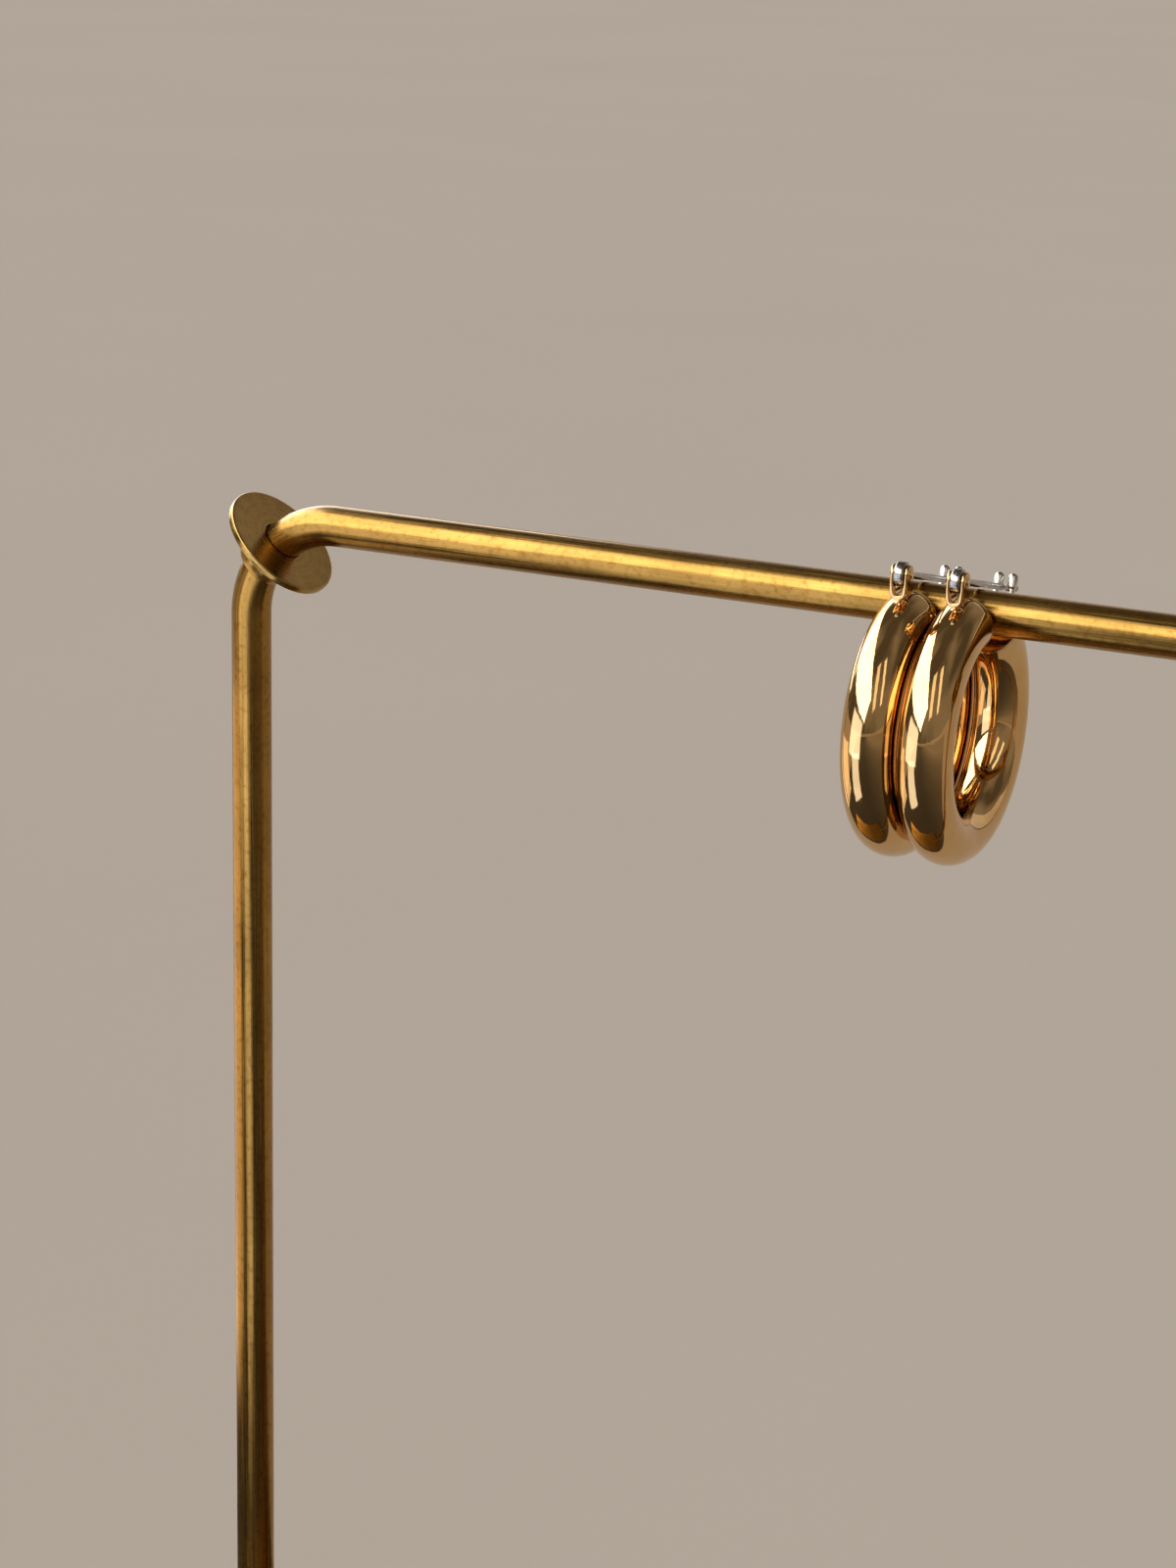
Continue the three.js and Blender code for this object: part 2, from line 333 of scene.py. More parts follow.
@dataclass(frozen=True)
class MattePaper:
    """A matte pale paper with a faint mottling."""

    name: str = "pale_paper"
    light: Colour = (0.65, 0.592, 0.53)
    dark: Colour = (0.62, 0.562, 0.50)
    mottle_scale: float = 3.0
    roughness: float = 0.85

    def make(self) -> bpy.types.Material:
        """Builds the material.

        Returns:
            The material.
        """
        bench = NodeBench(self.name)
        tone = bench.blend(bench.noise(bench.own_place(), self.mottle_scale, 4.0), self.light, self.dark)
        bench.wire(tone, bench.shader.inputs["Base Color"])
        bench.shader.inputs["Roughness"].default_value = self.roughness
        bench.shader.inputs["Specular IOR Level"].default_value = 0.0
        return bench.material


@dataclass(frozen=True)
class PaintedDarkReflection:
    """Paints a dark reflection of the room: a matte colour, dark and growing pale to the right, for a sheet
    that only the metal mirrors.
    """

    name: str = "painted_dark_reflection"
    dark: Colour = (0.05, 0.042, 0.033)
    pale: Colour = (0.4, 0.355, 0.31)
    fade: Pair = (0.08, 0.85)

    def make(self) -> bpy.types.Material:
        """Builds the material.

        Returns:
            The material.
        """
        bench = NodeBench(self.name)
        split = bench.add("SeparateXYZ")
        bench.wire(bench.own_place(), split.inputs["Vector"])
        # Painted reflection of shade: dark on the left, growing pale to the right across the card.
        tone = bench.blend(bench.spread(split.outputs["X"], self.fade), self.dark, self.pale)
        bench.wire(tone, bench.shader.inputs["Base Color"])
        bench.shader.inputs["Roughness"].default_value = 1.0
        return bench.material


class Finishes:
    """Every finish of the object, made once and shared by the pieces."""

    def __init__(self) -> None:
        """Makes the materials."""
        self.gold = PolishedMetal("polished_gold", (0.72, 0.45, 0.19), (0.66, 0.40, 0.16)).make()
        self.white = PolishedMetal(
            "polished_white_metal", (0.66, 0.61, 0.55), (0.56, 0.51, 0.45), roughness=(0.14, 0.26)
        ).make()
        self.grey = PolishedMetal(
            "grey_post_metal", (0.42, 0.38, 0.34), (0.34, 0.30, 0.26), roughness=(0.16, 0.3)
        ).make()
        self.rod = SatinMetal(
            "aged_rod_brass", (0.41, 0.22, 0.05), (0.3, 0.155, 0.033), Grain.ALONG_ROD
        ).make()
        self.turned = SatinMetal(
            "turned_brass", (0.50, 0.30, 0.085), (0.36, 0.21, 0.057), Grain.TURNED
        ).make()
        self.plate = SatinMetal(
            "plate_brass", (0.41, 0.225, 0.055), (0.28, 0.15, 0.035), Grain.ALONG_PLATE, (0.3, 0.48)
        ).make()


# ---------------------------------------------------------------- making shapes


@dataclass
class Skin:
    """Points and faces of one piece in the making, each point with its place on the straight piece."""

    points: list[Vector] = field(default_factory=list)
    lies: list[Vector] = field(default_factory=list)
    faces: list[tuple[int, ...]] = field(default_factory=list)

    def ring(self, points: list[Vector], lies: list[Vector] | None = None) -> list[int]:
        """Adds a closed ring of points.

        Args:
            points: the points in order round the ring.
            lies: where each lies on the straight piece, or None for the points themselves.

        Returns:
            The indexes of the new points.
        """
        first = len(self.points)
        self.points.extend(points)
        self.lies.extend(lies if lies is not None else points)
        return list(range(first, len(self.points)))

    def bridge(self, near: list[int], far: list[int]) -> None:
        """Joins two rings of the same count with four-sided faces.

        Args:
            near: the first ring.
            far: the second ring.
        """
        count = len(near)
        for i in range(count):
            j = (i + 1) % count
            self.faces.append((near[i], near[j], far[j], far[i]))

    def close(self, ring: list[int]) -> None:
        """Closes a ring with a fan of faces round its middle.

        Args:
            ring: the ring.
        """
        middle = sum((self.points[i] for i in ring), Vector()) / len(ring)
        lie = sum((self.lies[i] for i in ring), Vector()) / len(ring)
        centre = self.ring([middle], [lie])[0]
        for i, index in enumerate(ring):
            self.faces.append((index, ring[(i + 1) % len(ring)], centre))

    def loft(self, rings: list[list[int]], endless: bool = False) -> None:
        """Joins rings in turn and closes both ends, or joins the last to the first.

        Args:
            rings: the rings in order.
            endless: whether the last ring joins the first.
        """
        for near, far in zip(rings, rings[1:]):
            self.bridge(near, far)
        if endless:
            self.bridge(rings[-1], rings[0])
        else:
            self.close(rings[0])
            self.close(rings[-1])

    def piece(self, name: str, place: Matrix, sharp: float = 40.0) -> bpy.types.Object:
        """Turns the skin into an object at rest in the frame.

        Args:
            name: the piece's name.
            place: from the skin's millimetres to the frame's millimetres.
            sharp: edges that turn more than this many degrees stay crisp.

        Returns:
            The new object.
        """
        mesh = bpy.data.meshes.new(name)
        mesh.from_pydata([(place @ p) * MM for p in self.points], [], self.faces)
        lie = mesh.attributes.new(LIE, "FLOAT_VECTOR", "POINT")
        for item, value in zip(lie.data, self.lies):
            item.vector = value * MM
        work = bmesh.new()
        work.from_mesh(mesh)
        bmesh.ops.recalc_face_normals(work, faces=work.faces)
        work.to_mesh(mesh)
        work.free()
        mesh.shade_smooth()
        mesh.set_sharp_from_angle(angle=math.radians(sharp))
        thing = bpy.data.objects.new(name, mesh)
        bpy.context.scene.collection.objects.link(thing)
        return thing


def round_section(centre: Vector, across: Vector, up: Vector, radius: float, sides: int) -> list[Vector]:
    """Points of a circle.

    Args:
        centre: its middle.
        across: its first unit direction.
        up: its second unit direction.
        radius: its radius.
        sides: how many points.

    Returns:
        The points in order.
    """
    turns = (2 * math.pi * i / sides for i in range(sides))
    return [centre + (across * math.cos(t) + up * math.sin(t)) * radius for t in turns]


def quarter_round(radius: float, step: int) -> list[Pair]:
    """How far a rounded edge draws in from each of its two faces.

    Args:
        radius: the edge's radius.
        step: degrees from point to point.

    Returns:
        Pairs of the depths under the first and the second face, from the first face to the second.
    """
    angles = (math.radians(a) for a in range(0, 91, step))
    return [(radius * (1 - math.cos(angle)), radius * (1 - math.sin(angle))) for angle in angles]


def soft_rectangle(half_a: float, half_b: float, corner: float, steps: int = 4) -> list[Pair]:
    """Outline of a rectangle with round corners.

    Args:
        half_a: half its first side.
        half_b: half its second side.
        corner: radius of the corners, which is held under either half side.
        steps: points along each corner less one.

    Returns:
        The outline as pairs, in order.
    """
    corner = min(corner, half_a * 0.95, half_b * 0.95)
    outline = []
    for turn, (sign_a, sign_b) in enumerate([(1, 1), (-1, 1), (-1, -1), (1, -1)]):
        for i in range(steps + 1):
            angle = math.pi / 2 * (turn + i / steps)
            along_a = sign_a * (half_a - corner) + corner * math.cos(angle)
            along_b = sign_b * (half_b - corner) + corner * math.sin(angle)
            outline.append((along_a, along_b))
    return outline


def turn_on_lathe(
    skin: Skin, profile: Sequence[Pair], place: Matrix, sides: int, hollow: bool = False
) -> None:
    """Adds a shape turned about its own Z axis, which lies flat along its radius.

    Args:
        skin: where it goes.
        profile: radius and height of each turn of its outline.
        place: from the shape's frame to the skin's.
        sides: points round each turn.
        hollow: whether the outline closes on itself round an open bore.
    """
    rings = []
    for radius, height in profile:
        points = round_section(AXIS_Z * height, AXIS_X, AXIS_Y, max(radius, POINT_RADIUS), sides)
        lies = [Vector((radius, radius * LATHE_WAVER * math.sin(i), height)) for i in range(sides)]
        rings.append(skin.ring([place @ p for p in points], lies))
    skin.loft(rings, endless=hollow)


def sweep_wire(skin: Skin, stations: list[tuple[Vector, float]], place: Matrix, sides: int) -> None:
    """Adds a round wire whose thickness may change, along a route in the XZ plane.

    Args:
        skin: where it goes.
        stations: the route's points, each with the wire's radius there.
        place: from the route's frame to the skin's.
        sides: points round the wire.
    """
    rings = []
    travelled = 0.0
    for i, (point, radius) in enumerate(stations):
        before = stations[max(i - 1, 0)][0]
        after = stations[min(i + 1, len(stations) - 1)][0]
        travelled += (point - before).length
        up = (after - before).normalized().cross(AXIS_Y)
        points = round_section(point, AXIS_Y, up, radius, sides)
        straight = round_section(AXIS_Z * travelled, AXIS_Y, AXIS_X, radius, sides)
        rings.append(skin.ring([place @ p for p in points], straight))
    skin.loft(rings)


def arc_points(centre: Vector, radius: float, start: float, end: float, steps: int) -> list[Vector]:
    """Points along an arc in the XZ plane; angles are degrees from +X towards +Z.

    Args:
        centre: the arc's centre.
        radius: its radius.
        start: its first angle.
        end: its last angle.
        steps: how many parts it has.

    Returns:
        The points, both ends included.
    """
    angles = (math.radians(start + (end - start) * i / steps) for i in range(steps + 1))
    return [centre + Vector((math.cos(a), 0, math.sin(a))) * radius for a in angles]


def straight_points(start: Vector, end: Vector, steps: int) -> list[Vector]:
    """Points along a straight line, both ends included."""
    return [start.lerp(end, i / steps) for i in range(steps + 1)]


def dress(
    piece: bpy.types.Object, finish: bpy.types.Material, body: Body, node: str
) -> None:
    """Gives a piece its finish and its body, and hides the frame's node that it stands for.

    Args:
        piece: the piece.
        finish: its material.
        body: the body that it rides on.
        node: the frame's node that it replaces.
    """
    piece.data.materials.append(finish)
    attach(piece, body.value)
    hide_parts(node)
    LOG.info("%s: %d faces on %s", piece.name, len(piece.data.polygons), body.value)


# ---------------------------------------------------------------- the rack


@dataclass
class RackRod:
    """The bent rod: two legs and the bar between them."""

    radius: float = 2.4
    span: float = 126.0
    bar_height: float = 165.0
    bend_radius: float = 12.0
    foot: float = 1.5
    leg_steps: int = 24
    bend_steps: int = 28
    bar_steps: int = 20
    sides: int = 56

    def route(self) -> list[Vector]:
        """Follows the middle of the rod from the left foot over the bar to the right foot.

        Returns:
            The points of the route.
        """
        half = self.span / 2
        inner = half - self.bend_radius
        shoulder = self.bar_height - self.bend_radius
        bar_left, bar_right = (Vector((x, 0, self.bar_height)) for x in (-inner, inner))
        left, right = (Vector((x, 0, shoulder)) for x in (-inner, inner))
        up, down = (
            straight_points(Vector((x, 0, start)), Vector((x, 0, end)), self.leg_steps)
            for x, start, end in ((-half, self.foot, shoulder), (half, shoulder, self.foot))
        )
        points = up
        points += arc_points(left, self.bend_radius, 180, 90, self.bend_steps)[1:]
        points += straight_points(bar_left, bar_right, self.bar_steps)[1:]
        points += arc_points(right, self.bend_radius, 90, 0, self.bend_steps)[1:]
        points += down[1:]
        return points

    def build(self) -> bpy.types.Object:
        """Sweeps the rod from foot to foot.

        Returns:
            The rod.
        """
        skin = Skin()
        sweep_wire(skin, [(point, self.radius) for point in self.route()], Matrix.Identity(4), self.sides)
        return skin.piece("bent_rod", Matrix.Identity(4))

    def bend_place(self, side: Side) -> Matrix:
        """Finds the frame at the middle of a bend, with its Z axis along the rod towards the bar.

        Args:
            side: which bend.

        Returns:
            From that frame to the rack's.
        """
        shift = self.bend_radius * (1 - math.sqrt(0.5))
        spot = Vector((side.value * (self.span / 2 - shift), 0, self.bar_height - shift))
        return Matrix.Translation(spot) @ Matrix.Rotation(math.radians(-45 * side.value), 4, "Y")


@dataclass
class BendFittings:
    """The stop disc and the collar threaded on one bend."""

    rod: RackRod
    side: Side
    disc_radius: float = 7.4
    disc_thickness: float = 0.9
    disc_shift: float = 0.9
    rim: float = 0.2
    rim_land: float = 0.25
    dish: float = 0.02
    collar_radius: float = 3.45
    collar_length: float = 3.6
    collar_shoulder: float = 0.45
    collar_steps: int = 16
    bore_steps: int = 6
    slip: float = 0.15
    seam: float = 0.1
    sides: int = 96

    def disc(self) -> bpy.types.Object:
        """Turns the stop disc, faintly dished inside its rim, with an eased bore.

        Returns:
            The disc.
        """
        half = self.disc_thickness / 2
        bore = self.rod.radius + self.slip
        rim = [(self.disc_radius - inward, half - down) for inward, down in quarter_round(self.rim, 18)]
        face = [
            (self.disc_radius - self.rim - self.rim_land, half - self.dish),
            (bore + 0.3, half - self.dish),
            (bore + 0.06, half - 0.03),
            (bore, half - 0.09),
        ]
        upper = rim + face
        lower = [(radius, -height) for radius, height in reversed(upper)]
        profile = [(radius, height + self.disc_shift) for radius, height in lower + upper]
        skin = Skin()
        turn_on_lathe(skin, profile, Matrix.Identity(4), self.sides, hollow=True)
        return skin.piece(f"stop_{self.side.label}", self.rod.bend_place(self.side))

    def collar(self) -> bpy.types.Object:
        """Turns the collar and leans its bore along the bend.

        Returns:
            The collar.
        """
        top = self.disc_shift - self.disc_thickness / 2 - self.seam
        bore = self.rod.radius + self.slip
        bulge = self.collar_radius - self.rod.radius
        outer = []
        for i in range(self.collar_steps + 1):
            angle = math.pi * i / self.collar_steps
            swell = self.collar_shoulder + (1 - self.collar_shoulder) * math.sin(angle)
            down = self.collar_length * (1 + math.cos(angle)) / 2
            outer.append((self.rod.radius + bulge * swell, top - down))
        inner = [(bore, top - self.collar_length * k / self.bore_steps) for k in range(self.bore_steps + 1)]
        skin = Skin()
        turn_on_lathe(skin, outer + inner, Matrix.Identity(4), self.sides // 2, hollow=True)
        for point in skin.points:
            radius = math.hypot(point.x, point.y)
            hold = max(0.0, 1 - (radius - bore) / (self.collar_radius - bore))
            bend = self.rod.bend_radius - math.sqrt(self.rod.bend_radius**2 - point.z**2)
            point.x -= self.side.value * bend * hold
        return skin.piece(f"bead_collar_{self.side.label}", self.rod.bend_place(self.side))


@dataclass
class BasePlate:
    """The flat plate that the legs stand in."""

    length: float = 150.0
    depth: float = 56.0
    thickness: float = 4.0
    corner: float = 6.0
    edge: float = 0.6
    flat_border: float = 0.5
    socket: float = 2.55
    socket_depth: float = 2.6
    socket_bevel: float = 0.15
    leg_span: float = 126.0
    sharp: float = 30.0

    def outline(self, inset: float) -> list[Pair]:
        """The plate's outline drawn in by `inset`."""
        return soft_rectangle(
            self.length / 2 - inset, self.depth / 2 - inset, self.corner - inset, steps=12
        )

    def slab(self) -> bpy.types.Object:
        """Stacks the outlines into a plate with round edges.

        Returns:
            The plate, still without its sockets.
        """
        levels = [(self.edge + self.flat_border, 0.0)]
        levels += [(inset, height) for height, inset in quarter_round(self.edge, 15)]
        stack = levels + [(inset, self.thickness - height) for inset, height in reversed(levels)]
        skin = Skin()
        rings = []
        for inset, height in stack:
            rings.append(skin.ring([Vector((x, y, height)) for x, y in self.outline(inset)]))
        skin.loft(rings)
        return skin.piece("plate", Matrix.Identity(4), self.sharp)

    def socket_cutter(self) -> bpy.types.Object:
        """Turns the two plugs that cut the leg sockets.

        Returns:
            Both plugs as one object.
        """
        wide = self.socket + self.socket_bevel
        profile = [
            (self.socket, self.thickness - self.socket_depth),
            (self.socket, self.thickness - self.socket_bevel),
            (wide, self.thickness),
            (wide, self.thickness + 1),
        ]
        skin = Skin()
        for side in Side:
            turn_on_lathe(skin, profile, Matrix.Translation(AXIS_X * (side.value * self.leg_span / 2)), 56)
        return skin.piece("socket_cutter", Matrix.Identity(4))

    def build(self) -> bpy.types.Object:
        """Makes the slab, sinks the sockets in it and lets the grain follow its own points.

        Returns:
            The plate.
        """
        plate = self.slab()
        cutter = self.socket_cutter()
        cut = plate.modifiers.new("sockets", "BOOLEAN")
        cut.operation, cut.solver, cut.object = "DIFFERENCE", "EXACT", cutter
        depsgraph = bpy.context.evaluated_depsgraph_get()
        carved = bpy.data.meshes.new_from_object(plate.evaluated_get(depsgraph))
        carved.set_sharp_from_angle(angle=math.radians(self.sharp))
        for item, corner in zip(carved.attributes[LIE].data, carved.vertices):
            item.vector = corner.co
        plate.modifiers.clear()
        plate.data = carved
        bpy.data.objects.remove(cutter)
        return plate


@dataclass
class Rack:
    """The whole brass rack."""

    rod: RackRod = field(default_factory=RackRod)
    plate: BasePlate = field(default_factory=BasePlate)

    def build(self, finishes: Finishes) -> None:
        """Makes and dresses the rod, the plate and the fittings of both bends.

        Args:
            finishes: the object's finishes.
        """
        dress(self.rod.build(), finishes.rod, Body.RACK, "rack_rod")
        dress(self.plate.build(), finishes.plate, Body.RACK, "base_plate")
        for side in Side:
            fittings = BendFittings(self.rod, side)
            dress(fittings.disc(), finishes.turned, Body.RACK, f"stop_disc_{side.label}")
            dress(fittings.collar(), finishes.turned, Body.RACK, f"collar_{side.label}")


# ---------------------------------------------------------------- the earrings


@dataclass(frozen=True)
class Standing:
    """Where a small piece stands on the tube: its angle from the gap's middle and how far it leans out."""

    angle: float
    lean: float
    surface_radius: float
    post_level: float

    def place(self) -> Matrix:
        """Stands the piece's own frame on the tube.

        Returns:
            From the piece's frame, upright on its origin, to the earring's.
        """
        turn = math.copysign(self.lean, self.angle)
        way = Vector((0, math.sin(math.radians(self.angle)), math.cos(math.radians(self.angle))))
        lean = Matrix.Rotation(math.radians(-turn), 4, "X")
        return Matrix.Translation(way * self.surface_radius) @ lean

    def reach(self) -> float:
        """How far the piece reaches along its own axis before it meets the post's level."""
        drop = self.post_level - self.surface_radius * math.cos(math.radians(self.angle))
        return drop / math.cos(math.radians(self.lean))

    def crossing(self) -> float:
        """Where that is along the post, from the middle of the gap."""
        return (self.place() @ Vector((0, 0, self.reach()))).y


@dataclass
class Hoop:
    """The tube of the ring with its flat end caps."""

    ring_radius: float = 11.95
    tube_radius: float = 3.05
    gap_half_angle: float = 19.2
    fillet: float = 0.16
    seam_at: float = 0.42
    seam_depth: float = 0.025
    seam_step: float = 0.03
    cap_rings: Pair = (0.75, 0.4)
    steps: int = 200
    sides: int = 72

    def end_stations(self) -> list[Pair]:
        """Follows the tube's end through its rounded rim and the fine seam under it.

        Returns:
            Pairs of the distance from the cap and the tube's radius there.
        """
        stations = [(along, self.tube_radius - inward) for along, inward in quarter_round(self.fillet, 18)]
        low = self.tube_radius - self.seam_depth
        for turn, radius in enumerate((self.tube_radius, low, low, self.tube_radius)):
            stations.append((self.seam_at + turn * self.seam_step, radius))
        return stations

    def tube_ring(self, skin: Skin, angle: float, radius: float) -> list[int]:
        """Adds one ring of points across the tube.

        Args:
            skin: where it goes.
            angle: its place round the hoop in radians, from the top towards the catch.
            radius: its radius.

        Returns:
            The indexes of its points.
        """
        out = Vector((0, math.sin(angle), math.cos(angle)))
        return skin.ring(round_section(out * self.ring_radius, out, AXIS_X, radius, self.sides))

    def build(self, skin: Skin) -> None:
        """Sweeps the tube round the ring from cap to cap.

        Args:
            skin: where it goes.
        """
        ends = [(distance / self.ring_radius, radius) for distance, radius in self.end_stations()]
        start = math.radians(self.gap_half_angle)
        finish = 2 * math.pi - start
        first, last = start + ends[-1][0], finish - ends[-1][0]
        stations = [(start + turn, radius) for turn, radius in ends]
        for i in range(1, self.steps):
            stations.append((first + (last - first) * i / self.steps, self.tube_radius))
        stations += [(finish - turn, radius) for turn, radius in reversed(ends)]
        rings = [self.tube_ring(skin, angle, radius) for angle, radius in stations]
        for edge, angle in ((rings[0], start), (rings[-1], finish)):
            for share in self.cap_rings:
                inner = self.tube_ring(skin, angle, (self.tube_radius - self.fillet) * share)
                skin.bridge(edge, inner)
                edge = inner
            skin.close(edge)
        for near, far in zip(rings, rings[1:]):
            skin.bridge(near, far)


@dataclass
class HingeBracket:
    """The strip bent to a U that holds the pin, with round ear tops, on a small bright solder foot.

    The solder foot is given by the radius and height of its turns.
    """

    standing: Standing
    half_width: float = 1.0
    strip: float = 0.4
    bend_strip: float = 0.56
    half_depth: float = 1.05
    foot: float = 0.3
    edge: float = 0.17
    ear_top_angles: tuple[int, ...] = (88, 82, 74, 64, 52, 38, 20, 0)
    ear_steps: int = 8
    bend_steps: int = 20
    solder: tuple[Pair, ...] = (
        (0.72, -0.2), (0.68, -0.04), (0.54, 0.06), (0.45, 0.16),
        (0.42, 0.3), (0.44, 0.46), (0.3, 0.56), (0, 0.6),
    )

    def strip_stations(self) -> list[tuple[Vector, Vector, float, float]]:
        """Follows the strip from ear top to ear top.

        Returns:
            The outer face's middle, the outward direction, the half depth and the thickness at each station.
        """
        pin = self.standing.reach()
        bend = self.foot + self.half_width
        side = []
        for a in self.ear_top_angles:
            angle = math.radians(a)
            height = pin + self.half_depth * math.sin(angle)
            side.append((height, self.half_depth * math.cos(angle), self.strip))
        for k in range(1, self.ear_steps + 1):
            share = k / self.ear_steps
            thick = self.strip + (self.bend_strip - self.strip) * max(0.0, 2 * share - 1)
            side.append((pin + (bend - pin) * share, self.half_depth, thick))
        stations = [(-AXIS_X * self.half_width + AXIS_Z * z, -AXIS_X, w, t) for z, w, t in side]
        middle = AXIS_Z * bend
        for point in arc_points(middle, self.half_width, 180, 360, self.bend_steps)[1:-1]:
            stations.append((point, (point - middle).normalized(), self.half_depth, self.bend_strip))
        stations += [(AXIS_X * self.half_width + AXIS_Z * z, AXIS_X, w, t) for z, w, t in reversed(side)]
        return stations

    def build(self, skin: Skin) -> None:
        """Adds the strip and its solder foot.

        Args:
            skin: the hoop's skin, where they go.
        """
        place = self.standing.place()
        rings = []
        for face, out, half, thick in self.strip_stations():
            outline = soft_rectangle(thick / 2, half, self.edge)
            points = [face + out * (a - thick / 2) + AXIS_Y * b for a, b in outline]
            rings.append(skin.ring([place @ p for p in points]))
        skin.loft(rings)
        turn_on_lathe(skin, self.solder, place, 40)


@dataclass
class HingePin:
    """The riveted pin through the bracket, with a burred ring round each head."""

    radius: float = 0.4
    half_width: float = 1.0
    shank_end: float = 0.06

    def build(self, skin: Skin, centre: Vector) -> None:
        """Adds the pin along X.

        Args:
            skin: where it goes.
            centre: the pin's middle.
        """
        face = self.half_width
        head = [
            (self.radius + 0.02, face - 0.05),
            (self.radius + 0.18, face - 0.02),
            (self.radius + 0.17, face + 0.03),
            (self.radius + 0.06, face + 0.05),
            (self.radius + 0.02, face + 0.02),
            (self.radius - 0.02, face + 0.06),
            (self.radius * 0.6, face + 0.1),
            (self.radius * 0.25, face + 0.115),
            (0.0, face + 0.12),
        ]
        upper = [(self.radius, face - self.shank_end)] + head
        lower = [(radius, -height) for radius, height in reversed(upper)]
        place = Matrix.Translation(centre) @ Matrix.Rotation(math.pi / 2, 4, "Y")
        turn_on_lathe(skin, lower + upper, place, 40)


@dataclass
class EarPost:
    """The eye that turns on the pin and the straight wire with its snap groove.

    The wire's root is given by its radius and its distance from the pin.
    """

    level: float
    hinge_at: float
    catch_at: float
    end_at: float = 11.2
    radius: float = 0.4
    neck_radius: float = 0.25
    neck_half: float = 0.95
    neck_ease: float = 0.02
    neck_lead: float = 0.05
    eye_radius: float = 1.35
    eye_half: float = 0.54
    eye_round: float = 0.22
    bore: float = 0.45
    root: tuple[Pair, ...] = (
        (0.0, 0.75), (0.52, 0.78), (0.57, 1.05), (0.55, 1.3), (0.47, 1.55), (0.42, 1.8),
    )
    root_end: float = 2.1

    def eye_profile(self) -> list[Pair]:
        """Outlines the eye with its round cheeks and eased bore.

        Returns:
            Pairs of radius and height, closed round the bore.
        """
        cheek = quarter_round(self.eye_round, 15)
        upper = [(self.eye_radius - inward, self.eye_half - down) for inward, down in cheek]
        upper += [(self.bore + 0.06, self.eye_half), (self.bore, self.eye_half - 0.05)]
        return [(radius, -height) for radius, height in reversed(upper)] + upper

    def wire_profile(self) -> list[Pair]:
        """Outlines the wire from its root in the eye through the groove to its round tip.

        Returns:
            Pairs of radius and distance from the pin.
        """
        slope = self.radius - self.neck_radius
        half_groove = [
            (self.neck_radius, self.neck_half),
            (self.radius - self.neck_ease, self.neck_half + slope - self.neck_ease),
            (self.radius, self.neck_half + slope + self.neck_lead),
        ]
        neck = self.catch_at - self.hinge_at
        length = self.end_at - self.hinge_at
        wire = [*self.root, (self.radius, self.root_end)]
        wire += [(radius, neck - away) for radius, away in reversed(half_groove)]
        wire += [(radius, neck + away) for radius, away in half_groove]
        wire += [(self.radius - inward, length - back) for inward, back in quarter_round(self.radius, 15)]
        return wire

    def build(self, skin: Skin) -> None:
        """Adds the eye and the wire.

        Args:
            skin: where they go.
        """
        centre = Matrix.Translation((0, self.hinge_at, self.level))
        along_pin = centre @ Matrix.Rotation(math.pi / 2, 4, "Y")
        along_wire = centre @ Matrix.Rotation(-math.pi / 2, 4, "X")
        turn_on_lathe(skin, self.eye_profile(), along_pin, 64, hollow=True)
        turn_on_lathe(skin, self.wire_profile(), along_wire, 40)


@dataclass
class CatchFork:
    """The two prongs that grip the post, each ending in a drop-shaped bead.

    The solder foot is given by the radius and height of its turns.
    """

    standing: Standing
    half_spread: float = 0.8
    flare: float = 0.12
    wire: float = 0.34
    lift: float = 0.1
    bead: float = 0.56
    height: float = 4.0
    drop: float = 2.4
    bend_steps: int = 24
    solder: tuple[Pair, ...] = (
        (0.8, -0.25), (0.74, -0.06), (0.56, 0.08), (0.46, 0.24), (0.4, 0.4), (0.2, 0.46), (0, 0.48),
    )

    def bead_outline(self) -> list[Pair]:
        """Outlines one prong's bead, round above and drawn out below into the wire.

        Returns:
            Pairs of height and radius, from the tip down.
        """
        ball = self.height - self.bead
        outline = []
        for a in range(90, -91, -15):
            angle = math.radians(a)
            stretch, waist = (self.drop, self.wire) if a < 0 else (1.0, 0.01)
            height = ball + self.bead * math.sin(angle) * stretch
            outline.append((height, waist + (self.bead - waist) * math.cos(angle)))
        return outline

    def build(self, skin: Skin) -> None:
        """Adds the fork and its solder foot.

        Args:
            skin: where they go.
        """
        place = self.standing.place()
        bend = self.half_spread + self.flare
        low = self.lift + self.wire + bend
        ball = self.height - self.bead
        left, right = [], []
        for height, radius in self.bead_outline():
            lean = (height - low) / (ball - low)
            left.append((Vector((-bend + (bend - self.half_spread) * lean, 0, height)), radius))
            right.append((Vector((bend - (bend - self.half_spread) * lean, 0, height)), radius))
        arc = arc_points(AXIS_Z * low, bend, 180, 360, self.bend_steps)
        stations = left + [(point, self.wire) for point in arc] + right[::-1]
        sweep_wire(skin, stations, place, 32)
        turn_on_lathe(skin, self.solder, place, 36)


